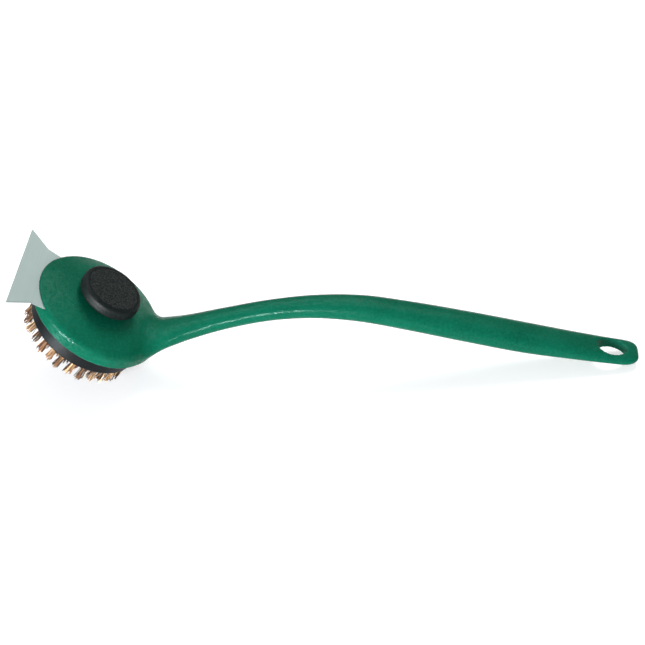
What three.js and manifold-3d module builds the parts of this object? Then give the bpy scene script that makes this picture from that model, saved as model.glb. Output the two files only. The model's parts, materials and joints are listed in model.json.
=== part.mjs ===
// Round-head grill cleaning brush with a scraper. Millimetres, +Z up.
//
// Every piece is drawn in the head frame: its origin is the centre of the dome's rim, Z is the head's
// axis, X points to the handle, and Y = 0 is the plane of symmetry. The head frame is then pitched
// forward into the rest pose, in which the brush stands on its rear bristle tips and its handle's butt.

import * as THREE from 'three';
import { mergeVertices } from 'three/addons/utils/BufferGeometryUtils.js';
import Module from 'manifold-3d';

const wasm = await Module();
wasm.setup();

// ---------------------------------------------------------------- driving dimensions

const GAP = 0.3; // clearance between pieces that touch
const LARGE_SIDES = 48; // facets of the large round pieces
const SMALL_SIDES = 24; // facets of the small round pieces

// Dome of the handle: a shallow shell, open below, that holds the brush head.
const RIM_RADIUS = 44;
const SKIRT_TOP = { radius: 43.6, z: 5.9 };
const SHOULDER = { radius: 40.6, corner: { radius: 43.4, z: 8.6 } };
const DOME_TOP = 17;
const DOME_ARC_RADIUS = 114.5;
const DOME_WALL = 2.8;
const CAVITY_RADIUS = 41.2;
const CAVITY_CORNER_Z = 4.6;
const CAVITY_CORNER_WIDTH = 3;
const KNOB_SEAT = { radius: 9.2, z: 16.6, bevel: 0.4 };
const HUB_BOSS_RADIUS = 10;

// Arm and grip: stations along the centre line, from inside the dome to the butt.
const ARM_STATIONS = [
  { x: 36, z: 3.6, width: 37, height: 12.5, squareness: 2.3 },
  { x: 44.3, z: 14.6, width: 28, height: 14, squareness: 2.4 },
  { x: 54, z: 27.9, width: 20.6, height: 12.6, squareness: 2.6 },
  { x: 69.5, z: 49, width: 15.8, height: 11.4, squareness: 2.6 },
  { x: 89, z: 72.2, width: 14.8, height: 11.6, squareness: 2.6 },
  { x: 110.3, z: 92, width: 16.3, height: 12.9, squareness: 2.5 },
  { x: 134.3, z: 108.4, width: 19, height: 14.6, squareness: 2.4 },
  { x: 160, z: 121, width: 20.8, height: 15.9, squareness: 2.2 },
  { x: 196, z: 136.9, width: 22.4, height: 16.8, squareness: 2.2 },
  { x: 232, z: 152.6, width: 22.9, height: 15.8, squareness: 2.3 },
  { x: 262, z: 167, width: 22.9, height: 11.2, squareness: 2.5 },
  { x: 282, z: 177, width: 22.4, height: 8.2, squareness: 2.8 },
  { x: 290, z: 181.1, width: 21.8, height: 7.6, squareness: 2.8 },
  { x: 294.9, z: 183.6, width: 18, height: 7.4, squareness: 2.8 },
  { x: 297.1, z: 184.8, width: 13, height: 7.2, squareness: 2.8 },
];
const ARM_SIDES = 16;
const ARM_STEPS = 34;
const HANG_HOLE = { x: 281.8, z: 177, length: 19.6, width: 15.4, slope: 0.475 };

// Scraper: a steel plate that leaves the dome through a slot in its front.
const PLATE = { bottom: 6.2, thickness: 1 };
const PLATE_OUTLINE = [
  [-57.9, 38.5],
  [-43.5, 27.9],
  [-33.6, 26.9],
  [-24, 19.5],
  [-15.5, 15],
];
const SLOT = { halfWidth: 28.3, front: -60, back: -30 };
const SCREW = { x: -26, y: 12, radius: 1.5, headRadius: 3.3, headHeight: 2, length: 5.2 };
const SCREW_BOSS_RADIUS = 4.2;

// Knob and the bolt that it turns.
const KNOB = { radius: 20.5, widestZ: 20.7, topRadius: 18.8, top: 26.4, hubRadius: 12.5, hubZ: 17.1 };
const KNOB_CAP = { radius: 16.8, thickness: 1.3, bevel: 0.2 };
const BOLT = { radius: 3.7, acrossFlats: 13, headBottom: 20.3, headTop: 24, end: -6.8, chamfer: 0.8 };
const WASHER = { radius: 8, hole: 4.3, bottom: 16.9, top: 18.1 };

// Brush head: the block, its threaded insert and its tufts of wire.
const BLOCK = { radius: 38.9, bottom: -12.3, top: 3.4, edge: 1 };
const INSERT = { radius: 6, bore: 4, length: 11, knurls: 16 };
const PEG = { radius: 2.5, offset: 24, end: -4, play: 0.5 };
const TUFT = { holeRadius: 2.1, holeDepth: 6.8, rootRadius: 1.6, tipRadius: 1.9, tip: -23.4, sides: 6 };
const TUFT_LEAN = 0.4; // how far the tips lean to the front of the head
const OUTER_RING = { radius: 35.3, count: 30 };
const INNER_RINGS = [
  { name: 'tuft_ring_outer', radius: 27.5, count: 24 },
  { name: 'tuft_ring_middle', radius: 20.5, count: 18 },
  { name: 'tuft_ring_inner', radius: 13.5, count: 12 },
];
const RING_WEB = { halfWidth: 0.9, thickness: 0.6 };

// ---------------------------------------------------------------- materials

function material(color, roughness, metalness) {
  return new THREE.MeshStandardMaterial({ color, roughness, metalness });
}

const GREEN_PLASTIC = material(0x0a7350, 0.45, 0);
const BLACK_PLASTIC = material(0x16181a, 0.25, 0);
const SOFT_BLACK = material(0x25282a, 0.7, 0);
const STAINLESS = material(0xb9c4bf, 0.4, 0.9);
const ZINC_STEEL = material(0x9a9ea2, 0.35, 0.9);
const BRASS = material(0xb58d45, 0.35, 0.9);
const COPPER_WIRE = material(0xa9713f, 0.4, 0.9);

// ---------------------------------------------------------------- solids

// A closed geometry as a solid that can be joined and cut.
function solid(geometry) {
  const bare = geometry.clone();
  bare.deleteAttribute('normal');
  bare.deleteAttribute('uv');
  const merged = mergeVertices(bare, 1e-4);
  const corners = merged.index.array;
  const triangles = [];
  for (let i = 0; i < corners.length; i += 3) {
    const [a, b, c] = corners.slice(i, i + 3);
    if (a !== b && b !== c && c !== a) {
      triangles.push(a, b, c);
    }
  }
  const vertProperties = new Float32Array(merged.attributes.position.array);
  const triVerts = new Uint32Array(triangles);
  return new wasm.Manifold(new wasm.Mesh({ numProp: 3, vertProperties, triVerts }));
}

function geometryOf(shape) {
  const mesh = shape.getMesh();
  const geometry = new THREE.BufferGeometry();
  geometry.setAttribute('position', new THREE.BufferAttribute(mesh.vertProperties, 3));
  geometry.setIndex(new THREE.BufferAttribute(mesh.triVerts, 1));
  return geometry;
}

// A profile of [radius, z] points turned about Z, drawn anticlockwise so that its faces point out.
function turned(profile, sides = SMALL_SIDES) {
  const points = profile.map(([radius, z]) => new THREE.Vector2(radius, z));
  return new THREE.LatheGeometry(points, sides).rotateX(Math.PI / 2);
}

function rod(radius, bottom, top, sides = SMALL_SIDES) {
  const geometry = new THREE.CylinderGeometry(radius, radius, top - bottom, sides);
  return geometry.rotateX(Math.PI / 2).translate(0, 0, (bottom + top) / 2);
}

function ring(inner, outer, bottom, top, sides = SMALL_SIDES) {
  return turned([[inner, bottom], [outer, bottom], [outer, top], [inner, top], [inner, bottom]], sides);
}

function hexagon(acrossFlats, bottom, top) {
  return rod(acrossFlats / Math.sqrt(3), bottom, top, 6);
}

// A vertical slab whose outline is given as a shape in X and Y.
function slab(shape, bottom, thickness, curveSegments = 12) {
  const settings = { depth: thickness, bevelEnabled: false, curveSegments };
  return new THREE.ExtrudeGeometry(shape, settings).translate(0, 0, bottom);
}

// ---------------------------------------------------------------- handle

// Height of the dome's outer surface, a circular arc about the head's axis.
function domeHeight(radius) {
  return DOME_TOP - DOME_ARC_RADIUS + Math.sqrt(DOME_ARC_RADIUS ** 2 - radius ** 2);
}

function domeArc(from, to, steps, lowered = 0) {
  return Array.from({ length: steps + 1 }, (_, i) => {
    const radius = THREE.MathUtils.lerp(from, to, i / steps);
    return [radius, domeHeight(radius) - lowered];
  });
}

// Height just inside the dome's outer surface, over a boss of this radius that stands off the axis.
function bossTop(offset, radius) {
  return domeHeight(offset + radius) - GAP;
}

function domeOutside() {
  const shoulderEnd = new THREE.Vector2(SHOULDER.radius, domeHeight(SHOULDER.radius));
  const shoulder = new THREE.QuadraticBezierCurve(
    new THREE.Vector2(SKIRT_TOP.radius, SKIRT_TOP.z),
    new THREE.Vector2(SHOULDER.corner.radius, SHOULDER.corner.z),
    shoulderEnd,
  );
  const shoulderPoints = shoulder.getPoints(4).map((point) => [point.x, point.y]);
  const arc = domeArc(SHOULDER.radius, KNOB_SEAT.radius, 5).slice(1);
  const seat = [[KNOB_SEAT.radius - KNOB_SEAT.bevel, KNOB_SEAT.z], [0, KNOB_SEAT.z]];
  return solid(turned([[0, 0], [RIM_RADIUS, 0], ...shoulderPoints, ...arc, ...seat], LARGE_SIDES));
}

function domeCavity() {
  const roof = domeArc(CAVITY_RADIUS - CAVITY_CORNER_WIDTH, 0, 5, DOME_WALL);
  const wall = [[0, -1], [CAVITY_RADIUS, -1], [CAVITY_RADIUS, CAVITY_CORNER_Z]];
  return solid(turned([...wall, ...roof], LARGE_SIDES));
}

// The arm: a cylinder whose rings are moved onto the stations' superellipse sections.
function arm() {
  const spine = new THREE.CatmullRomCurve3(ARM_STATIONS.map(({ x, z }) => new THREE.Vector3(x, 0, z)));
  const sizes = new THREE.CatmullRomCurve3(
    ARM_STATIONS.map(({ width, height, squareness }) => new THREE.Vector3(width, height, squareness)),
  );
  const geometry = new THREE.CylinderGeometry(1, 1, 1, ARM_SIDES, ARM_STEPS);
  const points = geometry.attributes.position;
  for (let i = 0; i < points.count; i++) {
    const along = THREE.MathUtils.clamp(0.5 - points.getY(i), 0, 1);
    const centre = spine.getPoint(along);
    const { x: width, y: height, z: squareness } = sizes.getPoint(along);
    const tangent = spine.getTangent(along);
    const up = new THREE.Vector3(-tangent.z, 0, tangent.x);
    const round = (value) => Math.sign(value) * Math.abs(value) ** (2 / squareness);
    centre.addScaledVector(up, (height / 2) * round(points.getX(i)));
    centre.y = -(width / 2) * round(points.getZ(i));
    points.setXYZ(i, centre.x, centre.y, centre.z);
  }
  return solid(geometry);
}

// An oval hole, square to the grip where it passes through.
function hangHole() {
  const shape = new THREE.Shape();
  shape.absellipse(0, 0, HANG_HOLE.length / 2, HANG_HOLE.width / 2, 0, 2 * Math.PI);
  const geometry = slab(shape, -15, 30, 14);
  geometry.rotateY(-HANG_HOLE.slope).translate(HANG_HOLE.x, 0, HANG_HOLE.z);
  return solid(geometry);
}

function scraperSlot() {
  const height = PLATE.thickness + 2 * GAP;
  const geometry = new THREE.BoxGeometry(SLOT.back - SLOT.front, 2 * SLOT.halfWidth, height);
  return solid(geometry.translate((SLOT.front + SLOT.back) / 2, 0, PLATE.bottom + PLATE.thickness / 2));
}

// A pair of upright rods where the scraper's two screws stand.
function screwPair(radius, bottom, top) {
  const [right, left] = [-SCREW.y, SCREW.y].map((y) => {
    return solid(rod(radius, bottom, top, 12).translate(SCREW.x, y, 0));
  });
  return right.add(left);
}

function locatingPegs() {
  const [right, left] = [-PEG.offset, PEG.offset].map((y) => {
    return solid(rod(PEG.radius, PEG.end, bossTop(PEG.offset, PEG.radius), 16).translate(0, y, 0));
  });
  return right.add(left);
}

function handle() {
  const hubBoss = solid(rod(HUB_BOSS_RADIUS, BLOCK.top + GAP, bossTop(0, HUB_BOSS_RADIUS)));
  const screwBossTop = bossTop(Math.hypot(SCREW.x, SCREW.y), SCREW_BOSS_RADIUS);
  const screwBosses = screwPair(SCREW_BOSS_RADIUS, PLATE.bottom + PLATE.thickness + GAP, screwBossTop);
  const screwPilots = screwPair(SCREW.radius + GAP, PLATE.bottom, screwTop() + GAP);
  const stud = solid(rod(BOLT.radius + 2 * GAP, -20, DOME_TOP + 5));
  const shell = domeOutside().add(arm()).subtract(domeCavity());
  const fitted = shell.add(hubBoss).add(screwBosses).add(locatingPegs());
  const cuts = stud.add(scraperSlot()).add(screwPilots).add(hangHole());
  return geometryOf(fitted.subtract(cuts));
}

// ---------------------------------------------------------------- scraper

function scraperBlade() {
  const left = PLATE_OUTLINE.map(([x, y]) => new THREE.Vector2(x, y));
  const right = left.map(({ x, y }) => new THREE.Vector2(x, -y)).reverse();
  const blade = solid(slab(new THREE.Shape([...left, ...right]), PLATE.bottom, PLATE.thickness));
  return geometryOf(blade.subtract(screwPair(SCREW.radius + 2 * GAP, 0, DOME_TOP)));
}

function screwTop() {
  return PLATE.bottom - GAP + SCREW.length;
}

function scraperScrew(side) {
  const seat = PLATE.bottom - GAP;
  const { radius, headRadius, headHeight } = SCREW;
  const low = seat - headHeight;
  const profile = [
    [0, low],
    [headRadius * 0.7, low],
    [headRadius, low + headHeight * 0.5],
    [headRadius, seat],
    [radius, seat],
    [radius, screwTop() - radius],
    [0, screwTop()],
  ];
  return turned(profile, 12).translate(SCREW.x, side * SCREW.y, 0);
}

// ---------------------------------------------------------------- knob

function knobBody() {
  const { radius, widestZ, topRadius, top, hubRadius, hubZ } = KNOB;
  const capSeat = top - KNOB_CAP.thickness - GAP;
  const socket = KNOB_CAP.radius + GAP;
  const profile = [
    [WASHER.radius + 1, hubZ],
    [hubRadius, hubZ],
    [hubRadius + 2, widestZ - 1.9],
    [radius - 1.4, widestZ - 1.7],
    [radius - 0.3, widestZ - 0.9],
    [radius, widestZ],
    [radius - 0.3, widestZ + 3],
    [topRadius + 0.9, top - 1.2],
    [topRadius, top - 0.3],
    [topRadius - 0.8, top],
    [socket, top],
    [socket, capSeat],
    [0, capSeat],
    [0, WASHER.top + GAP],
    [WASHER.radius + 1, WASHER.top + GAP],
    [WASHER.radius + 1, hubZ],
  ];
  const body = solid(turned(profile, LARGE_SIDES));
  const pocket = solid(hexagon(BOLT.acrossFlats + 2 * GAP, BOLT.headBottom - GAP, capSeat + 1));
  const bore = solid(rod(BOLT.radius + GAP, hubZ - 1, top));
  return geometryOf(body.subtract(pocket).subtract(bore));
}

function knobCap() {
  const { radius, thickness, bevel } = KNOB_CAP;
  const low = KNOB.top - thickness;
  const edge = [[radius, KNOB.top - bevel], [radius - bevel, KNOB.top]];
  return turned([[0, low], [radius, low], ...edge, [0, KNOB.top]], LARGE_SIDES);
}

function knobBolt() {
  const { radius, acrossFlats, headBottom, headTop, end, chamfer } = BOLT;
  const head = solid(hexagon(acrossFlats, headBottom, headTop));
  const tip = [[0, end], [radius - chamfer, end], [radius, end + chamfer]];
  const shank = solid(turned([...tip, [radius, headBottom + 1], [0, headBottom + 1]]));
  return geometryOf(head.add(shank));
}

// ---------------------------------------------------------------- brush head

function ringAngles(count) {
  return Array.from({ length: count }, (_, i) => ((i + 0.5) / count) * 2 * Math.PI);
}

function tuftHole(radius, angle) {
  const hole = rod(TUFT.holeRadius, BLOCK.bottom - 1, BLOCK.bottom + TUFT.holeDepth, 8);
  return solid(hole.translate(radius * Math.cos(angle), radius * Math.sin(angle), 0));
}

function brushBlock() {
  const { radius, bottom, top, edge } = BLOCK;
  const profile = [
    [0, bottom],
    [radius - edge, bottom],
    [radius, bottom + edge],
    [radius, top - edge],
    [radius - edge, top],
    [0, top],
  ];
  let block = solid(turned(profile, LARGE_SIDES));
  block = block.subtract(solid(rod(INSERT.radius + GAP, top - INSERT.length - GAP, top + 1)));
  for (const side of [-1, 1]) {
    const pegHole = rod(PEG.radius + PEG.play, PEG.end - PEG.play, top + 1, 16);
    block = block.subtract(solid(pegHole.translate(0, side * PEG.offset, 0)));
  }
  for (const { radius: ringRadius, count } of [OUTER_RING, ...INNER_RINGS]) {
    for (const angle of ringAngles(count)) {
      block = block.subtract(tuftHole(ringRadius, angle));
    }
  }
  return geometryOf(block);
}

function threadedInsert() {
  const outside = solid(rod(INSERT.radius, BLOCK.top - INSERT.length, BLOCK.top, INSERT.knurls));
  return geometryOf(outside.subtract(solid(rod(INSERT.bore, -30, 30))));
}

// One tuft of wire: straight in its hole, then thickening and leaning slightly forward to its tip.
function tuft(radius, angle) {
  const root = BLOCK.bottom + TUFT.holeDepth - 2 * GAP;
  const levels = [
    { z: root, size: TUFT.rootRadius, lean: 0 },
    { z: BLOCK.bottom, size: TUFT.rootRadius, lean: 0 },
    { z: TUFT.tip, size: TUFT.tipRadius, lean: TUFT_LEAN },
  ];
  const geometry = new THREE.CylinderGeometry(1, 1, 1, TUFT.sides, levels.length - 1);
  const points = geometry.attributes.position;
  for (let i = 0; i < points.count; i++) {
    const { z, size, lean } = levels[Math.round((0.5 - points.getY(i)) * (levels.length - 1))];
    const x = radius * Math.cos(angle) - lean + size * points.getX(i);
    const y = radius * Math.sin(angle) - size * points.getZ(i);
    points.setXYZ(i, x, y, z);
  }
  return geometry;
}

// A full ring of tufts, held together by a thin web just under the block's face.
function tuftRing(radius, count) {
  const webTop = BLOCK.bottom - GAP;
  const { halfWidth, thickness } = RING_WEB;
  let joined = solid(ring(radius - halfWidth, radius + halfWidth, webTop - thickness, webTop, count));
  for (const angle of ringAngles(count)) {
    joined = joined.add(solid(tuft(radius, angle)));
  }
  return geometryOf(joined);
}

// ---------------------------------------------------------------- assembly

const brush = new THREE.Group();

function addPiece(name, geometry, surface) {
  const mesh = new THREE.Mesh(geometry, surface);
  mesh.name = name;
  brush.add(mesh);
}

addPiece('handle', handle(), GREEN_PLASTIC);
addPiece('scraper_blade', scraperBlade(), STAINLESS);
addPiece('scraper_screw_left', scraperScrew(1), ZINC_STEEL);
addPiece('scraper_screw_right', scraperScrew(-1), ZINC_STEEL);
addPiece('knob_body', knobBody(), SOFT_BLACK);
addPiece('knob_cap', knobCap(), SOFT_BLACK);
addPiece('knob_bolt', knobBolt(), ZINC_STEEL);
addPiece('knob_washer', ring(WASHER.hole, WASHER.radius, WASHER.bottom, WASHER.top), ZINC_STEEL);
addPiece('brush_block', brushBlock(), BLACK_PLASTIC);
addPiece('threaded_insert', threadedInsert(), BRASS);
INNER_RINGS.forEach(({ name, radius, count }) => addPiece(name, tuftRing(radius, count), COPPER_WIRE));
ringAngles(OUTER_RING.count).forEach((angle, i) => {
  const number = String(i + 1).padStart(2, '0');
  addPiece(`tuft_${number}`, tuft(OUTER_RING.radius, angle), COPPER_WIRE);
});

// Pitch the brush until its rear tuft tips and the lower edge of its butt stand on the same level.
function restPitch() {
  const butt = ARM_STATIONS.at(-1);
  const slope = HANG_HOLE.slope;
  const buttX = butt.x + (butt.height / 2) * Math.sin(slope);
  const buttZ = butt.z - (butt.height / 2) * Math.cos(slope);
  const nearest = ringAngles(OUTER_RING.count)[0];
  const tipX = OUTER_RING.radius * Math.cos(nearest) - TUFT_LEAN + TUFT.tipRadius;
  return Math.atan2(buttZ - TUFT.tip, buttX - tipX);
}

brush.rotation.y = restPitch();
brush.updateMatrixWorld(true);

// The origin is the middle of the underside of the whole object's box.
const bounds = new THREE.Box3().setFromObject(brush, true);
const middle = bounds.getCenter(new THREE.Vector3());
brush.position.set(-middle.x, -middle.y, -bounds.min.z);

const part = new THREE.Group();
part.add(brush);

export default part;
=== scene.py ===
"""Looks of a round-head grill cleaning brush with a scraper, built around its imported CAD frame.

Pieces are drawn in the head frame, in millimetres: the origin is the centre of the dome's rim, Z is the
knob's axis, X points to the handle, and Y = 0 is the plane of symmetry. to_row() takes their points to the
row frame, in metres, with the place and the axis of the joint knob_turn.
"""

import json
import math
from contextlib import contextmanager

import bmesh
import bpy
import numpy as np
from mathutils import Euler, Matrix, Vector


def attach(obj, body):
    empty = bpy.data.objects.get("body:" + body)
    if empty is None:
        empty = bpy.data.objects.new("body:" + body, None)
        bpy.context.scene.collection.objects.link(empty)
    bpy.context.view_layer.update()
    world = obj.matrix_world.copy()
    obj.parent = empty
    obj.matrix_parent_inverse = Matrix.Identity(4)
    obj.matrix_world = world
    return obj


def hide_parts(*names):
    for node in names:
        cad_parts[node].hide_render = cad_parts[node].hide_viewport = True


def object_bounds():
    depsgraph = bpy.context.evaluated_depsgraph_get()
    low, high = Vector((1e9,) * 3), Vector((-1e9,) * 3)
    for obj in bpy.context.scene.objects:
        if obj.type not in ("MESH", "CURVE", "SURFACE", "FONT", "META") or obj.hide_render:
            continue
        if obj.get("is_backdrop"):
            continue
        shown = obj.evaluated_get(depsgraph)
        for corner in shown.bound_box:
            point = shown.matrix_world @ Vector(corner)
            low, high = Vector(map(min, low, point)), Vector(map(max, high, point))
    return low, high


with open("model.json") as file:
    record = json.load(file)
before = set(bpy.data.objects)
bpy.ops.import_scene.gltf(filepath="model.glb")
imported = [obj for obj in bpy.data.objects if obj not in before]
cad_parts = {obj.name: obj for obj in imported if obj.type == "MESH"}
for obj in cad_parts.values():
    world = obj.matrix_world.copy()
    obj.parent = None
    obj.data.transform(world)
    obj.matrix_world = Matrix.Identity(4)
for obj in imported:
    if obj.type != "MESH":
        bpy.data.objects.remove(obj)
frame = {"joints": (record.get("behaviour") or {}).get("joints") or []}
cad_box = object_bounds()

SEED = 20
HANDLE, KNOB_BODY, HEAD = "handle", "knob", "brush_head"

# ---------------------------------------------------------------- sizes of the pieces, in millimetres

GAP = 0.3
OVERSHOOT = 1  # how far a cutter stands past the face that it cuts
CREASE = math.radians(35)
WELD = 1e-7  # metres between two points of a cut that are one point
FLAT_GUARD = 1.03  # where a flat beside a rounded corner gets one more point, in roundings from the corner

RIM_RADIUS = 44.0
SKIRT_SLOPE = 0.068
SHOULDER_ROUNDING = 2.8
DOME_TOP = 17.0
DOME_ARC_RADIUS = 114.5
DOME_WALL = 2.8
CAVITY_RADIUS = 41.2
CAVITY_ROUNDING = 4.0
KNOB_SEAT_Z = 16.6
SEAT_ROUNDING = 0.2
EDGE_ROUNDING = 0.8
CUT_ROUNDING = 0.3
ROOT_FILLET = 8.5
POST_FILLET = 0.6
POST_DEPTH = 0.5  # from the dome's outside to the ends of the posts inside it

# Stations of the arm's centre line: x, z, width, height, squareness of the section.
ARM_STATIONS = (
    (36.0, 3.6, 37.0, 12.5, 2.1),
    (44.3, 14.6, 28.0, 14.0, 2.1),
    (54.0, 27.9, 20.8, 12.8, 2.1),
    (69.5, 49.0, 16.1, 11.8, 2.2),
    (89.0, 72.2, 15.0, 12.0, 2.2),
    (110.3, 92.0, 16.5, 13.2, 2.2),
    (134.3, 108.4, 19.2, 14.8, 2.2),
    (160.0, 121.0, 20.8, 15.9, 2.2),
    (196.0, 136.9, 22.4, 16.8, 2.2),
    (232.0, 152.6, 22.9, 15.8, 2.3),
    (262.0, 167.0, 22.9, 11.2, 2.5),
    (282.0, 177.0, 22.4, 8.2, 2.8),
    (297.6, 185.2, 22.4, 7.2, 2.8),
)
ARM_SAMPLES = 1200
ARM_CORE = 0.35  # the deepest distance inside the arm, as a share of its height
BUTT = {"start_x": 282.0, "length": 16.9, "squareness": 3.9, "slant": 0.6}
HANG_HOLE = {"x": 281.8, "z": 177.0, "length": 19.6, "width": 15.4, "slope": 0.475, "rounding": 0.6}

HUB_BOSS = {"radius": 10.0, "bottom": 3.7}
STUD_HOLE = 4.3
PLATE = {"bottom": 6.2, "thickness": 1.0, "bevel": 0.28}
PLATE_TOP = PLATE["bottom"] + PLATE["thickness"]
PLATE_CREASE = math.radians(10)
PLATE_OUTLINE = ((-57.9, 38.5), (-43.5, 27.9), (-33.6, 26.9), (-24.0, 19.5), (-15.5, 15.0))
SLOT = {"front": -60.0, "back": -30.0, "half_width": 27.3, "gap": 0.1}
SCREW = {"x": -26.0, "y": 12.0, "radius": 1.5, "length": 5.2, "sides": 40}
SCREW_HEAD = {"radius": 3.3, "height": 2.0, "taper": 0.2, "crown": 1.2, "edge": 0.2}
SCREW_THREAD = {"pitch": 0.6, "depth": 0.35, "plain": 1.5, "tip": 0.2}
SCREW_SLOTS = ((3.6, 0.8, 2.2), (0.8, 3.6, 2.2))  # the two boxes that cut the cross in a screw's head
SCREW_BOSS = 4.2
PEG = {"radius": 2.5, "offset": 24.0, "end": -4.0, "clearance": 0.5}

# Profiles of the turned pieces: radius, z and, where a corner is rounded, its rounding.
KNOB_PROFILE = (
    (8.9, 17.1, 0.2),
    (12.5, 17.1, 0.5),
    (14.2, 18.9, 1.2),
    (20.6, 18.9, 1.9),
    (20.25, 26.4, 2.9),
    (17.1, 26.4, 0.15),
    (17.1, 24.8),
    (7.9, 24.8),
    (7.9, 20.0),
    (4.1, 20.0),
    (4.1, 18.4),
    (8.9, 18.4),
)
CAP_PROFILE = ((0, 25.1), (16.98, 25.1, 0.2), (16.98, 26.42, 0.35), (0, 26.42))
WASHER_PROFILE = ((4.3, 16.9, 0.15), (8.0, 16.9, 0.2), (8.0, 18.1, 0.3), (4.3, 18.1, 0.15))
BLOCK_PROFILE = ((0, -12.3), (38.9, -12.3, 1.3), (37.9, 3.4, 1.0), (0, 3.4))
KNOB_SIDES, WASHER_SIDES, BLOCK_SIDES = 160, 96, 180
BLOCK_BOTTOM, BLOCK_TOP = BLOCK_PROFILE[0][1], BLOCK_PROFILE[-1][1]

# The wave makes the thread's flanks, and its shift the width of the roots and the crests.
THREAD = {"pitch": 1.25, "sides": 48, "steps": 12, "wave": 2.6, "shift": 0.15}
BOLT = {"thread": 3.85, "core": 3.3, "end": -6.8, "chamfer": 0.5, "under_head": 1}
BOLT_HEAD = {"across_flats": 13.0, "bottom": 20.3, "top": 24.0, "bevel": 0.4, "crease": math.radians(40)}
INSERT = {"radius": 6.0, "bore": 4.0, "length": 11.0, "thread_root": 0.35, "thread_crest": 0.02}
KNURL = {"ribs": 12, "height": 0.22, "twist": 0.9, "inset": 0.25, "end_inset": 0.6}

# Rings of tufts: radius and count.
OUTER_RING = (35.3, 30)
INNER_RINGS = {"outer": (27.5, 24), "middle": (20.5, 18), "inner": (13.5, 12)}
TUFT = {"hole": 2.1, "depth": 6.8, "root": 1.75, "tip": -23.4, "lean": 0.4, "flare": 0.85}
WIRE = {"radius": 0.27, "count": 26, "sides": 5, "steps": 6, "curve": 1.2, "end_gap": 1.0}
WIRE_CREASE = math.radians(80)
LIFTED_SHARE = 0.93  # what is left of a wire's free length each time it is shortened
# How far the random draws differ from tuft to tuft, and from wire to wire.
TUFT_SCATTER = {"tone": (0.1, 0.45), "splay": 0.4, "outward": 0.5, "short": 0.45}
WIRE_SCATTER = {"splay": 0.4, "bend": 0.3, "short": 1.0, "tone": 0.4}

# ---------------------------------------------------------------- the handle's grid

GRID_ENDS = ((-47, 302), (-47, 47), (-7, 193))  # along X, Y and Z
GRID_CELL, QUICK_CELL = 0.75, 1.2
SLOT_CELL, SLOT_MARGIN = 0.25, 0.75  # a finer cell in height, from below the scraper's slot to above it
COARSE = 6  # cells along the side of a block, which is skipped far from the surface
BAND = 2.4  # how near counts as near, in blocks
CORE_LEVEL = 0.3  # the level under which a point counts as deep inside
NEAREST_STEPS = 6  # of the search for the nearest place on the arm's centre line
PROJECTIONS = 3  # times that the points are moved onto the surface
CORNERS = [(i, j, k) for i in (0, 1) for j in (0, 1) for k in (0, 1)]

# ---------------------------------------------------------------- camera, stage and lights

# Place and turn of the camera in the head frame, in millimetres and degrees.
CAMERA = {"place": (-184.03, -754.22, 615.11), "turn": (48.601, -34.259, 4.348), "angle": 24.0}

# The stage and the lights are in the row frame, in metres and watts.
STAGE = {"radius": 6.0, "wall": 4.0, "sides": 64}
FLOOR_GLOW = {"near": (0.6, 0.57), "far": (2.5, 0.85)}  # distance from the middle, and the glow there
WORLD = {"colour": (0.97, 0.98, 1, 1), "strength": 0.3}
LIGHT_AIM = (0, 0, 0.03)
WHITE = (1, 1, 1)

# Name, place, size, power, colour, and which of the two kinds of reflection the light is for.
LIGHTS = (
    ("key", (0.35, 0.75, 1.0), (0.6, 0.5), 12.5, WHITE, "diffuse"),
    ("sheen", (-0.3, 0.45, 1.25), (1.7, 1.4), 18, WHITE, "gloss"),
    ("front_fill", (-0.6, -1.2, 0.4), (0.9, 0.4), 28, (0.88, 0.93, 1), "diffuse"),
    ("front_low", (-0.88, -0.84, 0.07), (0.3, 0.12), 7, (0.7, 0.9, 1), "gloss"),
    ("front_strip", (-0.6, -1.1, 0.2), (0.4, 0.05), 60, WHITE, "gloss"),
    ("left_strip", (-1.0, -0.8, 0.34), (0.2, 0.04), 8, WHITE, "gloss"),
)

# ---------------------------------------------------------------- frames and meshes


def head_frame():
    """The head frame's axes as columns, and its origin, from the knob's joint."""
    joint = next(j for j in frame["joints"] if j["name"] == "knob_turn")
    up = np.array(joint["axis"], float)
    up /= np.linalg.norm(up)
    side = np.array((0.0, 1.0, 0.0))
    return np.stack((np.cross(side, up), side, up), axis=1), np.array(joint["pos_m"], float)


AXES, ORIGIN = head_frame()


def to_row(points):
    return np.asarray(points, float) @ AXES.T / 1000 + ORIGIN


def mirrored(x, y):
    """A place and its mirror image in the plane of symmetry."""
    return [(x, -y), (x, y)]


def linked(name, data):
    """A new object of the scene."""
    item = bpy.data.objects.new(name, data)
    bpy.context.scene.collection.objects.link(item)
    return item


def new_mesh(name, points, faces):
    mesh = bpy.data.meshes.new(name)
    mesh.from_pydata(np.asarray(points).tolist(), [], [tuple(map(int, face)) for face in faces])
    return mesh


def shade(mesh, crease):
    """Shades a mesh smooth, with creases at angles over crease."""
    mesh.polygons.foreach_set("use_smooth", [True] * len(mesh.polygons))
    mesh.set_sharp_from_angle(angle=crease)


def new_object(name, points, faces, crease=CREASE):
    """A smooth-shaded mesh object from head-frame points."""
    mesh = new_mesh(name, to_row(points), faces)
    shade(mesh, crease)
    return linked(name, mesh)


@contextmanager
def editing(mesh):
    """A mesh's shape for bmesh operations, written back to the mesh at the end."""
    shape = bmesh.new()
    shape.from_mesh(mesh)
    yield shape
    shape.to_mesh(mesh)
    shape.free()


def bevel_edges(shape, millimetres):
    bmesh.ops.bevel(shape, geom=shape.edges[:], offset=millimetres / 1000, segments=2, affect="EDGES")


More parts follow.
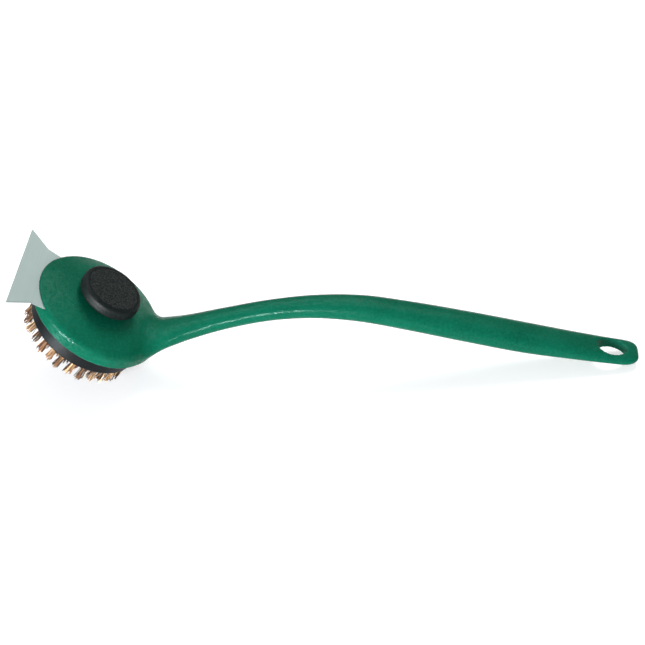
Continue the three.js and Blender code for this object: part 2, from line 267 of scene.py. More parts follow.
def declare(piece, body, slot, nodes, surface):
    """Gives a piece its body and its material, and hides the CAD nodes that it stands for; its record slot
    is not used.
    """
    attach(piece, body)
    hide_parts(*nodes)
    piece.data.materials.clear()
    piece.data.materials.append(surface)
    return piece


def carve(piece, cutter, crease=CREASE):
    """Cuts the cutter's solid out of a piece and deletes the cutter."""
    cut = piece.modifiers.new("cut", "BOOLEAN")
    cut.operation, cut.solver, cut.object = "DIFFERENCE", "EXACT", cutter
    bpy.context.view_layer.update()
    graph = bpy.context.evaluated_depsgraph_get()
    mesh = bpy.data.meshes.new_from_object(piece.evaluated_get(graph))
    with editing(mesh) as shape:
        bmesh.ops.remove_doubles(shape, verts=shape.verts[:], dist=WELD)
    piece.modifiers.clear()
    old, piece.data = piece.data, mesh
    mesh.name = piece.name
    bpy.data.meshes.remove(old)
    bpy.data.objects.remove(cutter)
    shade(mesh, crease)


def softened(corners, steps=6):
    """A profile of (radius, z, rounding) corners as points, each corner turned with its rounding."""
    places = [np.array(corner[:2], float) for corner in corners]
    points = []
    for i, corner in enumerate(corners):
        rounding = corner[2] if len(corner) > 2 else 0
        if not rounding:
            points.append(places[i])
            continue
        sides = (places[i - 1] - places[i], places[(i + 1) % len(corners)] - places[i])
        before, after = (side / np.linalg.norm(side) * rounding for side in sides)
        # A point just outside each end keeps the flat beside it flat when it is shaded smooth.
        points.append(places[i] + FLAT_GUARD * before)
        for t in np.linspace(0, 1, steps):
            points.append(places[i] + (1 - t) ** 2 * before + t**2 * after)
        points.append(places[i] + FLAT_GUARD * after)
    return points


def lathe(profile, sides):
    """Points and faces of an anticlockwise profile turned about Z: from axis to axis, or a closed loop."""
    points, rings = [], []
    for radius, z in profile:
        count = sides if radius > 0 else 1
        turns = np.arange(count) / count * 2 * np.pi
        rings.append(len(points) + np.arange(count))
        points.extend(np.stack((radius * np.cos(turns), radius * np.sin(turns), np.full(count, z)), 1))
    faces = []
    closed = len(rings[0]) > 1
    pairs = list(zip(rings, rings[1:] + rings[:1] if closed else rings[1:]))
    for low, high in pairs:
        for i in range(sides):
            j = (i + 1) % sides
            if len(low) == 1:
                faces.append((low[0], high[j], high[i]))
            elif len(high) == 1:
                faces.append((low[i], low[j], high[0]))
            else:
                faces.append((low[i], low[j], high[j], high[i]))
    return np.array(points), faces


def rods(name, places, radius, bottom, top, sides=32):
    """One object of upright round bars, used to cut holes."""
    shape, shape_faces = lathe([(0, bottom), (radius, bottom), (radius, top), (0, top)], sides)
    points, faces = [], []
    for x, y in places:
        start = len(points)
        points.extend(shape + (x, y, 0))
        faces.extend(tuple(start + i for i in face) for face in shape_faces)
    return new_object(name, points, faces)


def box(name, centre, size):
    """One upright box, used to cut slots."""
    square = ((-0.5, -0.5), (0.5, -0.5), (0.5, 0.5), (-0.5, 0.5))
    corners = np.array([(x, y, z) for z in (-0.5, 0.5) for x, y in square])
    sides = [(i, (i + 1) % 4, (i + 1) % 4 + 4, i + 4) for i in range(4)]
    return new_object(name, corners * size + centre, [(3, 2, 1, 0), (4, 5, 6, 7), *sides])


# ---------------------------------------------------------------- implicit surfaces


def smooth_max(a, b, rounding):
    overlap = np.maximum(rounding - np.abs(a - b), 0) / rounding
    return np.maximum(a, b) + overlap**2 * rounding / 4


def smooth_min(a, b, rounding):
    return -smooth_max(-a, -b, rounding)


def shrunk_level(radius, level, core):
    """A distance to the surface where level is 1, from the distance to the centre line."""
    return np.where(level > CORE_LEVEL, radius * (1 - 1 / np.maximum(level, CORE_LEVEL)), -core)


def spine_table():
    """Arc length along the arm's centre line, and x, z, width, height and squareness there.

    The knots are as far apart as the square roots of the distances, so that the curve doesn't overshoot.
    """
    stations = np.array(ARM_STATIONS)
    span = np.hypot(*np.diff(stations[:, :2], axis=0).T) ** 0.5
    slopes = np.diff(stations, axis=0) / span[:, None]
    inner = (slopes[:-1] * span[1:, None] + slopes[1:] * span[:-1, None]) / (span[1:] + span[:-1])[:, None]
    tangents = np.concatenate((slopes[:1], inner, slopes[-1:]))
    t = np.linspace(0, len(span), ARM_SAMPLES)
    i = np.minimum(t.astype(int), len(span) - 1)
    u, h = (t - i)[:, None], span[i][:, None]
    rows = (
        (2 * u**3 - 3 * u**2 + 1) * stations[i]
        + (u**3 - 2 * u**2 + u) * h * tangents[i]
        + (3 * u**2 - 2 * u**3) * stations[i + 1]
        + (u**3 - u**2) * h * tangents[i + 1]
    )
    steps = np.hypot(*np.diff(rows[:, :2], axis=0).T)
    return np.concatenate(([0], np.cumsum(steps))), rows


SPINE_LENGTH, SPINE = spine_table()
SPINE_DIRECTION = np.gradient(SPINE[:, :2], SPINE_LENGTH, axis=0)
SPINE_DIRECTION /= np.linalg.norm(SPINE_DIRECTION, axis=1)[:, None]
ARM_END = np.interp(BUTT["start_x"], SPINE[:, 0], SPINE_LENGTH)


def arm_field(x, y, z):
    """Distance to the arm: superellipse sections along the spine, closed by a rounded butt."""
    along = np.interp(x, SPINE[:, 0], SPINE_LENGTH)
    for _ in range(NEAREST_STEPS):
        held = np.clip(along, 0, SPINE_LENGTH[-1])
        at_x, at_z = (np.interp(held, SPINE_LENGTH, SPINE[:, c]) for c in (0, 1))
        to_x, to_z = (np.interp(held, SPINE_LENGTH, SPINE_DIRECTION[:, c]) for c in (0, 1))
        off_x, off_z = x - at_x - (along - held) * to_x, z - at_z - (along - held) * to_z
        along = along + off_x * to_x + off_z * to_z
    across = off_z * to_x - off_x * to_z
    width, height, square = (np.interp(held, SPINE_LENGTH, SPINE[:, c]) for c in (2, 3, 4))
    past = np.maximum(along - BUTT["slant"] * across - ARM_END, 0)
    beside, power = np.abs(2 * y / width), BUTT["squareness"]
    plan = (beside**power + (past / BUTT["length"]) ** power) ** (1 / power)
    side = np.where(past > 0, plan, beside)
    level = (side**square + np.abs(2 * across / height) ** square) ** (1 / square)
    radius = np.sqrt(y**2 + across**2 + past**2)
    return np.maximum(shrunk_level(radius, level, ARM_CORE * height), -along)


def dome_field(x, y, z):
    radius = np.hypot(x, y)
    skirt = radius - RIM_RADIUS + SKIRT_SLOPE * z
    cap = np.hypot(radius, z + DOME_ARC_RADIUS - DOME_TOP) - DOME_ARC_RADIUS
    return smooth_max(skirt, cap, SHOULDER_ROUNDING)


def cavity_field(x, y, z):
    radius = np.hypot(x, y)
    roof = np.hypot(radius, z + DOME_ARC_RADIUS - DOME_TOP) - DOME_ARC_RADIUS + DOME_WALL
    return smooth_max(radius - CAVITY_RADIUS, roof, CAVITY_ROUNDING)


def hole_field(x, y, z):
    run, rise = x - HANG_HOLE["x"], z - HANG_HOLE["z"]
    along = run * math.cos(HANG_HOLE["slope"]) + rise * math.sin(HANG_HOLE["slope"])
    level = np.hypot(2 * along / HANG_HOLE["length"], 2 * y / HANG_HOLE["width"])
    return shrunk_level(np.hypot(along, y), level, HANG_HOLE["width"] / 3)


def post_field(x, y, z, places, radius, bottom, top):
    off = np.min([np.hypot(x - px, y - py) for px, py in places], axis=0)
    return np.maximum(off - radius, np.maximum(bottom - z, z - top))


def handle_field(x, y, z):
    dome = dome_field(x, y, z)
    seated = smooth_max(dome, z - KNOB_SEAT_Z, SEAT_ROUNDING)
    outside = smooth_min(seated, arm_field(x, y, z), ROOT_FILLET)
    outside = smooth_max(outside, -z, EDGE_ROUNDING)
    shell = smooth_max(outside, -cavity_field(x, y, z), EDGE_ROUNDING)
    screws, pegs = mirrored(SCREW["x"], SCREW["y"]), mirrored(0, PEG["offset"])
    posts = np.minimum(
        post_field(x, y, z, [(0, 0)], HUB_BOSS["radius"], HUB_BOSS["bottom"], DOME_TOP),
        np.minimum(
            post_field(x, y, z, screws, SCREW_BOSS, PLATE_TOP + GAP, DOME_TOP),
            post_field(x, y, z, pegs, PEG["radius"], PEG["end"], DOME_TOP),
        ),
    )
    shell = smooth_min(shell, np.maximum(posts, dome + POST_DEPTH), POST_FILLET)
    middle = PLATE["bottom"] + PLATE["thickness"] / 2
    slot = np.maximum(
        np.abs(x - (SLOT["front"] + SLOT["back"]) / 2) - (SLOT["back"] - SLOT["front"]) / 2,
        np.maximum(
            np.abs(y) - SLOT["half_width"],
            np.abs(z - middle) - PLATE["thickness"] / 2 - SLOT["gap"],
        ),
    )
    pilot_ends = (PLATE["bottom"], PLATE["bottom"] + SCREW["length"])
    pilots = post_field(x, y, z, screws, SCREW["radius"] + GAP, *pilot_ends)
    stud = np.hypot(x, y) - STUD_HOLE
    cuts = np.minimum(np.minimum(slot, pilots), stud)
    shell = smooth_max(shell, -cuts, CUT_ROUNDING)
    return smooth_max(shell, -hole_field(x, y, z), HANG_HOLE["rounding"])


def slope_of(field, points, step=0.02):
    """The field's value and gradient at some points."""
    value = field(*points.T)
    shifts = np.eye(3) * step
    slope = [(field(*(points + s).T) - field(*(points - s).T)) / (2 * step) for s in shifts]
    return value, np.stack(slope, axis=1)


def grid_levels(low, high, cell, fine=None):
    """Grid places from low to high, closer together between fine's first two values, in whole blocks."""
    levels = np.arange(low, high, cell)
    if fine is not None:
        first, last, step = fine
        parts = (np.arange(low, first, cell), np.arange(first, last, step), np.arange(last, high, cell))
        levels = np.concatenate(parts)
    extra = -len(levels) % COARSE
    return np.concatenate((levels, levels[-1] + cell * np.arange(1, extra + 1)))


def grid_values(field, levels, cell):
    """The field's values on the grid, with one value for all of a block that is far from the surface."""
    centres = [places.reshape(-1, COARSE).mean(axis=1) for places in levels]
    rough = field(*np.meshgrid(*centres, indexing="ij"))
    near = np.abs(rough) < cell * COARSE * BAND
    for axis in range(3):
        rough, near = (np.repeat(a, COARSE, axis) for a in (rough, near))
    values = rough.astype(np.float32)
    places = np.nonzero(near)
    values[places] = field(*(levels[i][places[i]] for i in range(3)))
    return values


def net_points(values, levels, cells):
    """One point in each cell: the mean of the places where the surface crosses the cell's edges."""
    total, hits = np.zeros((len(cells), 3)), np.zeros(len(cells))
    for start in CORNERS:
        for axis in range(3):
            if start[axis]:
                continue
            step = np.eye(3, dtype=int)[axis]
            a = values[tuple((cells + start).T)].astype(float)
            b = values[tuple((cells + start + step).T)].astype(float)
            cut = (a < 0) != (b < 0)
            share = np.where(cut, a / np.where(cut, a - b, 1), 0)
            total += np.where(cut[:, None], np.array(start) + share[:, None] * step, 0)
            hits += cut
    spots = cells + total / hits[:, None]
    return np.stack([np.interp(spots[:, i], np.arange(len(levels[i])), levels[i]) for i in range(3)], axis=1)


def net_faces(inside, number):
    """One face for each grid edge that the surface crosses, between the points of the cells around it."""
    faces = []
    step = np.eye(3, dtype=int)
    for axis in range(3):
        changed = inside != np.roll(inside, -1, axis)
        changed[tuple(-1 if i == axis else slice(None) for i in range(3))] = False
        nodes = np.argwhere(changed)
        nodes = nodes[(nodes > 0).all(axis=1) & (nodes < number.shape).all(axis=1)]
        b, c = step[(axis + 1) % 3], step[(axis + 2) % 3]
        quad = np.stack([number[tuple((nodes - o).T)] for o in (b + c, c, 0 * b, b)], axis=1)
        flipped = ~inside[tuple(nodes.T)]
        quad[flipped] = quad[flipped][:, ::-1]
        faces.append(quad)
    return np.concatenate(faces)


def surface_net(field, levels, cell):
    """Points, faces and normals of the field's zero surface: one point in each grid cell that it crosses."""
    values = grid_values(field, levels, cell)
    inside = values < 0
    size = np.array(values.shape) - 1
    filled = sum(
        inside[i : i + size[0], j : j + size[1], k : k + size[2]].astype(np.int8) for i, j, k in CORNERS
    )
    crossed = (filled > 0) & (filled < 8)
    cells = np.argwhere(crossed)
    number = np.full(crossed.shape, -1, np.int32)
    number[crossed] = np.arange(len(cells))
    points, faces = net_points(values, levels, cells), net_faces(inside, number)
    for _ in range(PROJECTIONS):
        value, slope = slope_of(field, points)
        move = slope * (value / np.maximum((slope**2).sum(1), 1e-6))[:, None]
        points -= np.clip(move, -cell / 2, cell / 2)
    _, normals = slope_of(field, points)
    return points, faces, normals / np.linalg.norm(normals, axis=1)[:, None]


# ---------------------------------------------------------------- materials


class Shader:
    """A node material under construction: its nodes are added and linked by short calls."""

    def __init__(self, name):
        self.material = bpy.data.materials.new(name)
        self.material.use_nodes = True
        self.tree = self.material.node_tree
        self.bsdf = self.tree.nodes["Principled BSDF"]
        self.place = self.add("ShaderNodeTexCoord").outputs["Object"]

    def add(self, kind, links=(), **settings):
        node = self.tree.nodes.new(kind)
        for key, value in settings.items():
            setattr(node, key, value)
        for socket, source in dict(links).items():
            self.feed(node.inputs[socket], source)
        return node

    def feed(self, socket, source):
        if isinstance(source, bpy.types.NodeSocket):
            self.tree.links.new(source, socket)
        else:
            socket.default_value = source

    def set(self, **values):
        for key, value in values.items():
            self.feed(self.bsdf.inputs[key.replace("_", " ")], value)

    def stretched(self, scale):
        return self.add("ShaderNodeMapping", {"Vector": self.place, "Scale": scale}).outputs["Vector"]

    def noise(self, scale, detail=2.0, roughness=0.5, place=None):
        links = {"Vector": place or self.place, "Scale": scale, "Detail": detail, "Roughness": roughness}
        return self.add("ShaderNodeTexNoise", links).outputs["Fac"]

    def cells(self, scale):
        return self.add("ShaderNodeTexVoronoi", {"Vector": self.place, "Scale": scale}).outputs["Distance"]

    def spread(self, value, low, high, out_low=0.0, out_high=1.0):
        links = {"Value": value, "From Min": low, "From Max": high, "To Min": out_low, "To Max": out_high}
        return self.add("ShaderNodeMapRange", links).outputs["Result"]

    def ramp(self, value, stops):
        node = self.add("ShaderNodeValToRGB", {"Fac": value})
        elements = node.color_ramp.elements
        while len(elements) < len(stops):
            elements.new(0.5)
        for element, (position, colour) in zip(elements, stops):
            element.position, element.color = position, (*colour, 1)
        return node.outputs["Color"]

    def mixed(self, share, a, b):
        node = self.add("ShaderNodeMix", data_type="RGBA")
        self.feed(node.inputs["Factor"], share)
        for socket, colour in ((node.inputs[6], a), (node.inputs[7], b)):
            self.feed(socket, colour if isinstance(colour, bpy.types.NodeSocket) else (*colour, 1))
        return node.outputs[2]

    def bump(self, height, strength, distance):
        links = {"Height": height, "Strength": strength, "Distance": distance}
        return self.add("ShaderNodeBump", links).outputs["Normal"]


def green_plastic():
    s = Shader("green plastic")
    cloud = s.spread(s.noise(45, 3), 0.3, 0.7)
    base = s.mixed(cloud, (0.002, 0.088, 0.045), (0.0035, 0.112, 0.06))
    speck = s.spread(s.noise(620, 3, 0.7), 0.4, 0.7)
    base = s.mixed(s.spread(speck, 0, 1, 0.0, 0.5), base, (0.006, 0.16, 0.094))
    # Convex edges, such as the rim's, are painted lighter: a painted highlight along the edges.
    edge = s.add("ShaderNodeNewGeometry").outputs["Pointiness"]
    base = s.mixed(s.spread(edge, 0.53, 0.6, 0.0, 0.4), base, (0.03, 0.24, 0.16))
    grain = s.noise(750, 4, 0.65)
    sparkle = s.noise(520, 3, 0.6)
    s.set(
        Base_Color=base,
        Roughness=s.spread(grain, 0.3, 0.7, 0.16, 0.24),
        Normal=s.bump(grain, 0.5, 0.00035),
        Specular_IOR_Level=s.spread(sparkle, 0.42, 0.6, 0.015, 0.125),
        Specular_Tint=(0.7, 1, 0.97, 1),
    )
    return s.material


def black_gloss():
    s = Shader("black gloss plastic")
    cloud = s.spread(s.noise(120, 3), 0.35, 0.65)
    base = s.mixed(cloud, (0.002, 0.003, 0.0035), (0.005, 0.007, 0.008))
    fine = s.noise(900, 2)
    s.set(
        Base_Color=base,
        Roughness=s.spread(fine, 0.3, 0.7, 0.3, 0.42),
        Normal=s.bump(fine, 0.05, 0.0001),
        Specular_IOR_Level=0.13,
    )
    return s.material


def knob_plastic():
    s = Shader("knob plastic")
    grain = s.noise(750, 4, 0.7)
    base = s.mixed(s.spread(grain, 0.35, 0.7), (0.002, 0.004, 0.004), (0.009, 0.014, 0.0135))
    s.set(
        Base_Color=base,
        Roughness=s.spread(grain, 0.3, 0.7, 0.45, 0.6),
        Normal=s.bump(grain, 0.45, 0.0004),
        Specular_IOR_Level=0.11,
    )
    return s.material


def knob_grip():
    s = Shader("knob grip")
    pits = s.cells(900)
    grain = s.noise(1000, 4, 0.7)
    mix = s.add("ShaderNodeMath", {0: pits, 1: grain}, operation="MULTIPLY").outputs[0]
    base = s.mixed(s.spread(mix, 0.1, 0.4), (0.001, 0.002, 0.002), (0.024, 0.03, 0.028))
    s.set(
        Base_Color=base,
        Roughness=s.spread(grain, 0.3, 0.7, 0.55, 0.8),
        Normal=s.bump(mix, 0.6, 0.0006),
        Specular_IOR_Level=0.16,
    )
    return s.material


def stainless():
    s = Shader("stainless sheet")
    lines = s.noise(1, 3, 0.6, s.stretched((900, 25, 900)))
    cloud = s.spread(s.noise(35, 3), 0.3, 0.7)
    base = s.mixed(cloud, (0.41, 0.5, 0.475), (0.435, 0.525, 0.5))
    base = s.mixed(s.spread(lines, 0.35, 0.7, 0, 0.25), base, (0.36, 0.44, 0.415))
    # Faces that turn away from the plate's top, its bevels and cut edge, are painted darker: painted shade
    # along the plate's edge.
    shade_facing = s.add("ShaderNodeVectorMath", {1: AXES[:, 2]}, operation="DOT_PRODUCT")
    s.feed(shade_facing.inputs[0], s.add("ShaderNodeNewGeometry").outputs["Normal"])
    base = s.mixed(s.spread(shade_facing.outputs["Value"], 0.98, 0.8, 0.0, 0.75), base, (0.16, 0.19, 0.175))
    s.set(
        Base_Color=base,
        Metallic=0.12,
        Roughness=s.spread(lines, 0.3, 0.7, 0.5, 0.62),
        Normal=s.bump(lines, 0.08, 0.0001),
        Specular_IOR_Level=0.2,
    )
    return s.material


def metal(name, dark, light, roughness):
    s = Shader(name)
    wear = s.noise(220, 4, 0.6)
    fine = s.noise(1, 3, 0.6, s.stretched((1500, 1500, 200)))
    s.set(
        Base_Color=s.mixed(s.spread(wear, 0.3, 0.7), dark, light),
        Metallic=0.95,
        Roughness=s.spread(fine, 0.3, 0.7, roughness * 0.8, roughness * 1.2),
        Normal=s.bump(fine, 0.06, 0.0001),
    )
    return s.material


def wire_metal():
    s = Shader("bristle wire")
    tone = s.add("ShaderNodeAttribute", attribute_name="tone").outputs["Fac"]
    stain = s.spread(s.noise(700, 3), 0.3, 0.7, -0.12, 0.12)
    value = s.add("ShaderNodeMath", {0: tone, 1: stain}, operation="ADD").outputs[0]
    colours = (
        (0.0, (0.02, 0.012, 0.008)),
        (0.25, (0.075, 0.036, 0.021)),
        (0.5, (0.23, 0.115, 0.055)),
        (0.75, (0.4, 0.24, 0.12)),
        (1.0, (0.62, 0.46, 0.27)),
    )
    s.set(
        Base_Color=s.ramp(value, colours),
        Metallic=0.5,
        Roughness=s.spread(value, 0, 1, 0.5, 0.35),
        Specular_IOR_Level=0.1,
    )
    return s.material


GREEN = green_plastic()
BLACK = black_gloss()
KNOB_PLASTIC = knob_plastic()
KNOB_GRIP = knob_grip()
STAINLESS = stainless()
ZINC = metal("zinc plating", (0.4, 0.42, 0.45), (0.62, 0.64, 0.67), 0.3)
BRASS = metal("brass", (0.45, 0.3, 0.11), (0.66, 0.48, 0.2), 0.3)
WIRE_METAL = wire_metal()

# ---------------------------------------------------------------- handle and scraper


def make_handle():
    cell = GRID_CELL
    near_slot = (PLATE["bottom"] - SLOT_MARGIN, PLATE_TOP + SLOT_MARGIN, SLOT_CELL)
    levels = [grid_levels(*ends, cell, fine) for ends, fine in zip(GRID_ENDS, (None, None, near_slot))]
    points, faces, normals = surface_net(handle_field, levels, cell)
    piece = new_object("green_handle", points, faces, math.pi)
    piece.data.normals_split_custom_set_from_vertices((normals @ AXES.T).tolist())
    return declare(piece, HANDLE, "green_plastic", ["handle"], GREEN)


def make_scraper():
    outline = [*PLATE_OUTLINE, *((x, -y) for x, y in reversed(PLATE_OUTLINE))]
    count = len(outline)
    points = [(x, y, z) for z in (PLATE["bottom"], PLATE_TOP) for x, y in outline]
    faces = [tuple(range(count)), tuple(reversed(range(count, 2 * count)))]
    faces += [(i, i + count, (i + 1) % count + count, (i + 1) % count) for i in range(count)]
    piece = new_object("scraper_plate", points, faces)
    with editing(piece.data) as shape:
        bmesh.ops.recalc_face_normals(shape, faces=shape.faces[:])
        bevel_edges(shape, PLATE["bevel"])
    holes = mirrored(SCREW["x"], SCREW["y"])
    carve(piece, rods("plate_cutter", holes, SCREW["radius"] + 2 * GAP, 0, DOME_TOP), PLATE_CREASE)
    return declare(piece, HANDLE, "stainless_steel", ["scraper_blade"], STAINLESS)


def make_screw(name, node, side):
    seat, radius = PLATE["bottom"] - GAP, SCREW["radius"]
    low, high = seat - SCREW_HEAD["height"], seat + SCREW["length"]
    wide, pitch = SCREW_HEAD["radius"], SCREW_THREAD["pitch"]
    rows = [
        (0, low),
        (wide - SCREW_HEAD["taper"], low, SCREW_HEAD["crown"]),
        (wide, seat, SCREW_HEAD["edge"]),
        (radius, seat),
    ]
    for i in range(int((SCREW["length"] - SCREW_THREAD["plain"]) / pitch)):
        z = seat + pitch / 2 + i * pitch
        rows += [(radius - SCREW_THREAD["depth"], z), (radius, z + pitch / 2)]
    rows += [(SCREW_THREAD["tip"], high), (0, high)]
    points, faces = lathe(softened(rows), SCREW["sides"])
    x, y = SCREW["x"], side * SCREW["y"]
    piece = new_object(name, points + (x, y, 0), faces)
    for size in SCREW_SLOTS:
        carve(piece, box("slot_cutter", (x, y, low), size))
    return declare(piece, HANDLE, "zinc_plated_steel", [node], ZINC)


# ---------------------------------------------------------------- knob


def threaded(radius_low, radius_high, bottom, top):
    """Heights, turns and radii of a helical thread's surface, in rows of angles at each height."""
    rows = max(2, int(round((top - bottom) / THREAD["pitch"] * THREAD["steps"])))
    turns = np.arange(THREAD["sides"]) / THREAD["sides"]
    heights = np.linspace(bottom, top, rows + 1)
    phase = (heights[:, None] / THREAD["pitch"] - turns[None]) % 1
    wave = np.clip(np.abs(phase - 0.5) * THREAD["wave"] - THREAD["shift"], 0, 1)
    return heights, turns, radius_low + (radius_high - radius_low) * wave


def grid_points(heights, turns, radius):
    angles = turns * 2 * np.pi
    x, y = radius * np.cos(angles), radius * np.sin(angles)
    return np.stack((x, y, np.broadcast_to(heights[:, None], x.shape)), axis=2).reshape(-1, 3)


def tube_faces(rows, sides, start=0):
    """Faces between the rows of points around a tube, whose first point has the number start."""
    faces = []
    for i in range(rows - 1):
        for j in range(sides):
            k = (j + 1) % sides
            a, b = start + i * sides, start + (i + 1) * sides
            faces.append((a + j, a + k, b + k, b + j))
    return faces


def make_bolt():
    core, end = BOLT["core"], BOLT["end"]
    head_bottom, head_top = BOLT_HEAD["bottom"], BOLT_HEAD["top"]
    heights, turns, radius = threaded(core, BOLT["thread"], end, head_bottom - BOLT["under_head"])
    chamfer = core - BOLT["chamfer"] + (heights - end)[:, None]
    points = grid_points(heights, turns, np.minimum(radius, chamfer))
    faces = tube_faces(len(heights), len(turns))
    count = len(turns)
    faces += [tuple(reversed(range(count))), tuple(range(len(points) - count, len(points)))]
    piece = new_object("clamp_bolt", points, faces)
    corner = BOLT_HEAD["across_flats"] / math.sqrt(3)
    profile = [(0, head_bottom), (corner, head_bottom), (corner, head_top), (0, head_top)]
    head = new_object("bolt_head", *lathe(profile, 6))
    with editing(head.data) as shape:
        bevel_edges(shape, BOLT_HEAD["bevel"])
    with editing(piece.data) as shape:
        shape.from_mesh(head.data)
    bpy.data.objects.remove(head)
    piece.data.set_sharp_from_angle(angle=BOLT_HEAD["crease"])
    return declare(piece, KNOB_BODY, "zinc_plated_steel", ["knob_bolt"], ZINC)


def make_knob():
    turned = (
        ("knob_grip_body", "knob_body", "knob_plastic", KNOB_PLASTIC, KNOB_PROFILE, KNOB_SIDES),
        ("knob_top_disc", "knob_cap", "knob_grip", KNOB_GRIP, CAP_PROFILE, KNOB_SIDES),
        ("knob_seat_washer", "knob_washer", "zinc_plated_steel", ZINC, WASHER_PROFILE, WASHER_SIDES),
    )
    for name, node, slot, surface, profile, sides in turned:
        piece = new_object(name, *lathe(softened(profile), sides))
        declare(piece, KNOB_BODY, slot, [node], surface)
    make_bolt()


# ---------------------------------------------------------------- brush head


def ring_places(radius, count):
    angles = (np.arange(count) + 0.5) / count * 2 * np.pi
    return np.stack((radius * np.cos(angles), radius * np.sin(angles)), axis=1)


def make_block():
    piece = new_object("bristle_block", *lathe(softened(BLOCK_PROFILE), BLOCK_SIDES))
    holes = np.concatenate([ring_places(*ring) for ring in (OUTER_RING, *INNER_RINGS.values())])
    ends = (BLOCK_BOTTOM - OVERSHOOT, BLOCK_BOTTOM + TUFT["depth"])
    carve(piece, rods("tuft_cutter", holes, TUFT["hole"], *ends, sides=20))
    clearance = PEG["clearance"]
    ends = (PEG["end"] - clearance, BLOCK_TOP + OVERSHOOT)
    carve(piece, rods("peg_cutter", mirrored(0, PEG["offset"]), PEG["radius"] + clearance, *ends))
    ends = (BLOCK_TOP - INSERT["length"] - GAP, BLOCK_TOP + OVERSHOOT)
    carve(piece, rods("insert_cutter", [(0, 0)], INSERT["radius"] + GAP, *ends, sides=64))
    return declare(piece, HEAD, "black_plastic", ["brush_block"], BLACK)


def make_insert():
    low, high = BLOCK_TOP - INSERT["length"], BLOCK_TOP
    root, crest = (INSERT["bore"] + INSERT[key] for key in ("thread_root", "thread_crest"))
    heights, turns, bore = threaded(root, crest, low, high)
    ribs = np.abs(np.sin(KNURL["ribs"] * (turns[None] * 2 * np.pi) + KNURL["twist"] * heights[:, None]))
    ends = np.minimum(heights - low, high - heights)[:, None]
    knurled = INSERT["radius"] - KNURL["inset"] + KNURL["height"] * ribs
    outer = np.minimum(knurled, INSERT["radius"] - KNURL["end_inset"] + ends)
    points = np.concatenate((grid_points(heights, turns, outer), grid_points(heights, turns, bore)))
    rows, sides = len(heights), len(turns)
    half = rows * sides
    faces = tube_faces(rows, sides)
    faces += [tuple(reversed(face)) for face in tube_faces(rows, sides, half)]
    for j in range(sides):
        k = (j + 1) % sides
        faces.append((k, j, half + j, half + k))
        last = half - sides
        faces.append((last + j, last + k, half + last + k, half + last + j))
    piece = new_object("brass_insert", points, faces)
    return declare(piece, HEAD, "brass", ["threaded_insert"], BRASS)


def wire_path(rng, centre, mood):
    """Centre line and tone of one wire of a tuft: straight in its hole, then leaning and bent to its tip."""
    turn, reach = rng.uniform(0, 2 * math.pi), math.sqrt(rng.uniform())
    offset = np.array((math.cos(turn), math.sin(turn))) * reach
    spread = rng.normal(0, WIRE_SCATTER["splay"], 2) + offset * TUFT["flare"] + mood["splay"]
    bend = rng.normal(0, WIRE_SCATTER["bend"], 2)
    tip = TUFT["tip"] + abs(rng.normal(0, WIRE_SCATTER["short"])) + mood["short"]
    root = BLOCK_BOTTOM + TUFT["depth"] - WIRE["end_gap"]
    t = np.linspace(0, 1, WIRE["steps"] + 1)
    z = np.concatenate(([root], BLOCK_BOTTOM + (tip - BLOCK_BOTTOM) * t))
    free = np.concatenate(([0], t))[:, None]
    lean = np.array((-TUFT["lean"], 0))
    flared = (lean + spread) * free ** WIRE["curve"]
    plane = centre + offset * TUFT["root"] + flared + bend * np.sin(free * math.pi)
    tone = np.clip(mood["tone"] + rng.normal(0, WIRE_SCATTER["tone"]), 0, 1)
    return np.column_stack((plane, z)), tone


def lifted(path):
    """Shortens a wire whose tip would go into the floor."""
    height = to_row(path)[:, 2] * 1000 - WIRE["radius"]
    if height.min() >= 0:
        return path
    keep = BLOCK_BOTTOM + (path[:, 2] - BLOCK_BOTTOM) * LIFTED_SHARE
    path = path.copy()
    path[1:, 2] = keep[1:]
    return lifted(path)


def wire_mesh(paths):
    """Points and faces of thin closed tubes along the paths."""
    sides = WIRE["sides"]
    turns = np.arange(sides) / sides * 2 * np.pi
    points, faces = [], []
    for path in paths:
        way = np.gradient(path, axis=0)
        way /= np.linalg.norm(way, axis=1)[:, None]
        first = np.cross(way, (0.0, 1.0, 0.0))
        first /= np.linalg.norm(first, axis=1)[:, None]
        second = np.cross(way, first)
        start = sum(len(p) for p in points)
        tube = (
            path[:, None]
            + WIRE["radius"] * np.cos(turns)[None, :, None] * first[:, None]
            + WIRE["radius"] * np.sin(turns)[None, :, None] * second[:, None]
        )
        points.append(tube.reshape(-1, 3))
        faces += tube_faces(len(path), sides, start)
        last = start + (len(path) - 1) * sides
        faces += [tuple(reversed(range(start, start + sides))), tuple(range(last, last + sides))]
    return np.concatenate(points), faces


def make_tufts(rng, name, node, centres):
    paths, tones = [], []
    for centre in centres:
        mood = {
            "tone": rng.uniform(*TUFT_SCATTER["tone"]),
            "splay": rng.normal(0, TUFT_SCATTER["splay"], 2)
            + TUFT_SCATTER["outward"] * centre / np.linalg.norm(centre),
            "short": abs(rng.normal(0, TUFT_SCATTER["short"])),
        }
        for _ in range(WIRE["count"]):
            path, tone = wire_path(rng, centre, mood)
            paths.append(lifted(path))
            tones.append(tone)
    points, faces = wire_mesh(paths)
    piece = new_object(name, points, faces, WIRE_CREASE)
    attribute = piece.data.attributes.new("tone", "FLOAT", "POINT")
    attribute.data.foreach_set("value", np.repeat(tones, len(points) // len(tones)))
    return declare(piece, HEAD, "bristle_wire", [node], WIRE_METAL)


def make_bristles():
    rng = np.random.default_rng(SEED)
    for i, centre in enumerate(ring_places(*OUTER_RING), 1):
        make_tufts(rng, f"wire_tuft_{i:02d}", f"tuft_{i:02d}", [centre])
    for ring, (radius, count) in INNER_RINGS.items():
        make_tufts(rng, f"wire_ring_{ring}", f"tuft_ring_{ring}", ring_places(radius, count))


# ---------------------------------------------------------------- camera, floor and lights


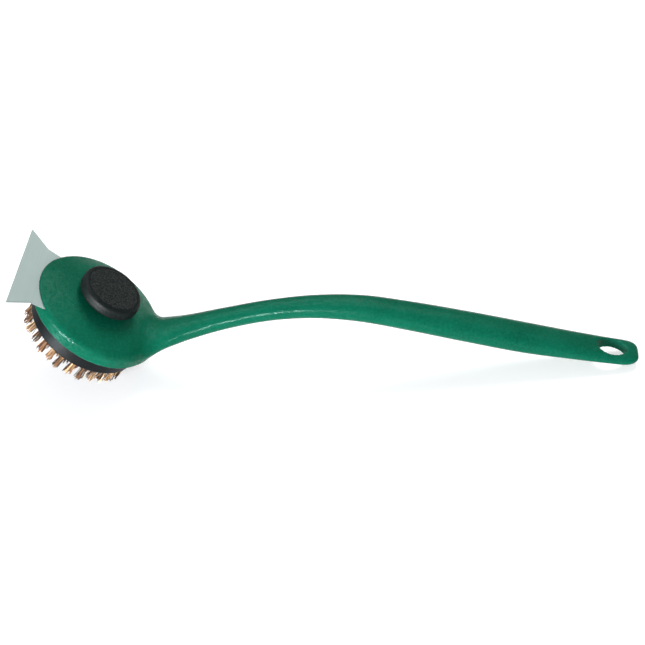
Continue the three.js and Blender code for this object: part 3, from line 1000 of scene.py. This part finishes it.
def make_camera():
    data = bpy.data.cameras.new("camera")
    data.sensor_width = 36
    data.angle = math.radians(CAMERA["angle"])
    camera = linked("camera", data)
    turn = Euler([math.radians(a) for a in CAMERA["turn"]], "XYZ").to_matrix()
    camera.location = to_row(CAMERA["place"])
    camera.rotation_euler = (Matrix(AXES.tolist()) @ turn).to_euler()
    bpy.context.scene.camera = camera


def add_stage(name, points, faces, surface):
    mesh = new_mesh(name, points, faces)
    mesh.materials.append(surface)
    piece = linked(name, mesh)
    piece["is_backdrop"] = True
    return piece


def stage_rim():
    """Points of the round floor's edge, in the row frame."""
    turns = np.arange(STAGE["sides"]) / STAGE["sides"] * 2 * np.pi
    return STAGE["radius"] * np.stack((np.cos(turns), np.sin(turns), 0 * turns), axis=1)


def make_floor():
    """A round pale floor that glows a little more far out, where the lights don't reach it."""
    s = Shader("pale floor")
    tint = s.spread(s.noise(3, 2), 0.3, 0.7)
    out = s.add("ShaderNodeVectorMath", {0: s.place}, operation="LENGTH").outputs["Value"]
    (near, near_glow), (far, far_glow) = FLOOR_GLOW["near"], FLOOR_GLOW["far"]
    s.set(
        Base_Color=s.mixed(tint, (0.6, 0.6, 0.6), (0.62, 0.62, 0.62)),
        Roughness=0.95,
        Emission_Color=(1, 1, 1, 1),
        Emission_Strength=s.spread(out, near, far, near_glow, far_glow),
    )
    add_stage("floor", stage_rim(), [range(STAGE["sides"])], s.material)


def make_backdrop():
    """A white wall around the floor, which only the camera sees, so that it lights nothing."""
    s = Shader("white backdrop")
    s.set(Base_Color=(0, 0, 0, 1), Emission_Color=(1, 1, 1, 1), Emission_Strength=1.0)
    rim = stage_rim()
    points = np.concatenate((rim, rim + (0, 0, STAGE["wall"])))
    wall = add_stage("backdrop", points, tube_faces(2, STAGE["sides"]), s.material)
    wall.visible_diffuse, wall.visible_glossy, wall.visible_shadow = False, False, False


def make_light(name, place, size, power, colour, gives):
    data = bpy.data.lights.new(name, "AREA")
    data.shape, data.size, data.size_y = "RECTANGLE", *size
    data.energy, data.color = power, colour
    light = linked(name, data)
    light.location = place
    way = np.array(LIGHT_AIM) - np.array(place)
    light.rotation_euler = Vector(way).to_track_quat("-Z", "Y").to_euler()
    light.visible_diffuse, light.visible_glossy = gives == "diffuse", gives == "gloss"


def make_lights():
    world = bpy.data.worlds.new("studio")
    world.use_nodes = True
    background = world.node_tree.nodes["Background"]
    background.inputs["Color"].default_value = WORLD["colour"]
    background.inputs["Strength"].default_value = WORLD["strength"]
    bpy.context.scene.world = world
    for light in LIGHTS:
        make_light(*light)
    bpy.context.scene.view_settings.view_transform = "Standard"


make_camera()
make_floor()
make_backdrop()
make_lights()
make_handle()
make_scraper()
make_screw("plate_screw_left", "scraper_screw_left", 1)
make_screw("plate_screw_right", "scraper_screw_right", -1)
make_knob()
make_block()
make_insert()
make_bristles()

boxes = {"cad": cad_box, "visual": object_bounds()}
{key: [list(corner) for corner in box] for key, box in boxes.items()}
